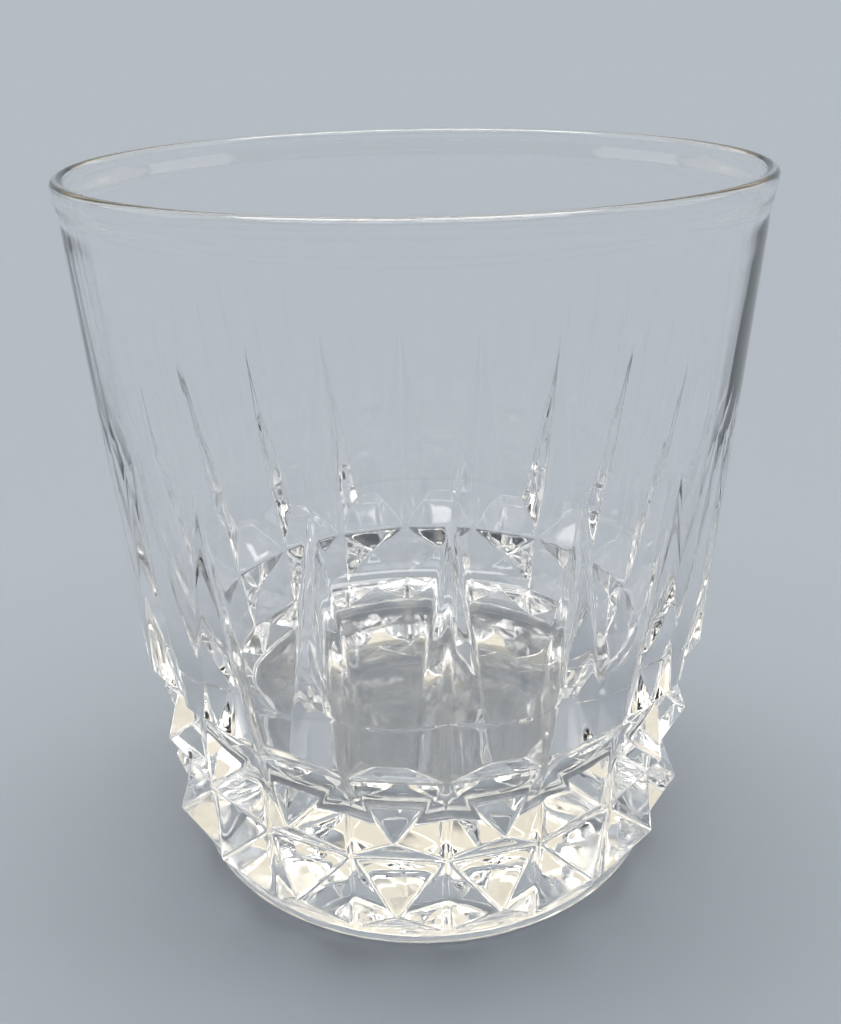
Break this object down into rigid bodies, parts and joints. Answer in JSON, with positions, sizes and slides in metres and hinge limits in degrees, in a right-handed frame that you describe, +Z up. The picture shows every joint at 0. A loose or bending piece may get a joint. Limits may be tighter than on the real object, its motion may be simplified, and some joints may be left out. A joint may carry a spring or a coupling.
{
  "type": "whiskey tumbler",
  "caption": "Short, slightly flared drinking tumbler of clear pressed glass, with long spear grooves up the wall and bands of diamond points around a heavy solid base.",
  "frame": {"origin": "on the glass's axis, in the plane of the foot it stands on", "axes": "+Z up along the axis, from the foot to the lip; -Y towards the middle of one panel of the pressed pattern"},
  "size_m": [0.088, 0.088, 0.096],
  "materials": {
    "clear_glass": "fire-polished, clear and colourless"
  },
  "bodies": {
    "root": {"glass_tumbler": "clear_glass"}
  },
  "joints": []
}
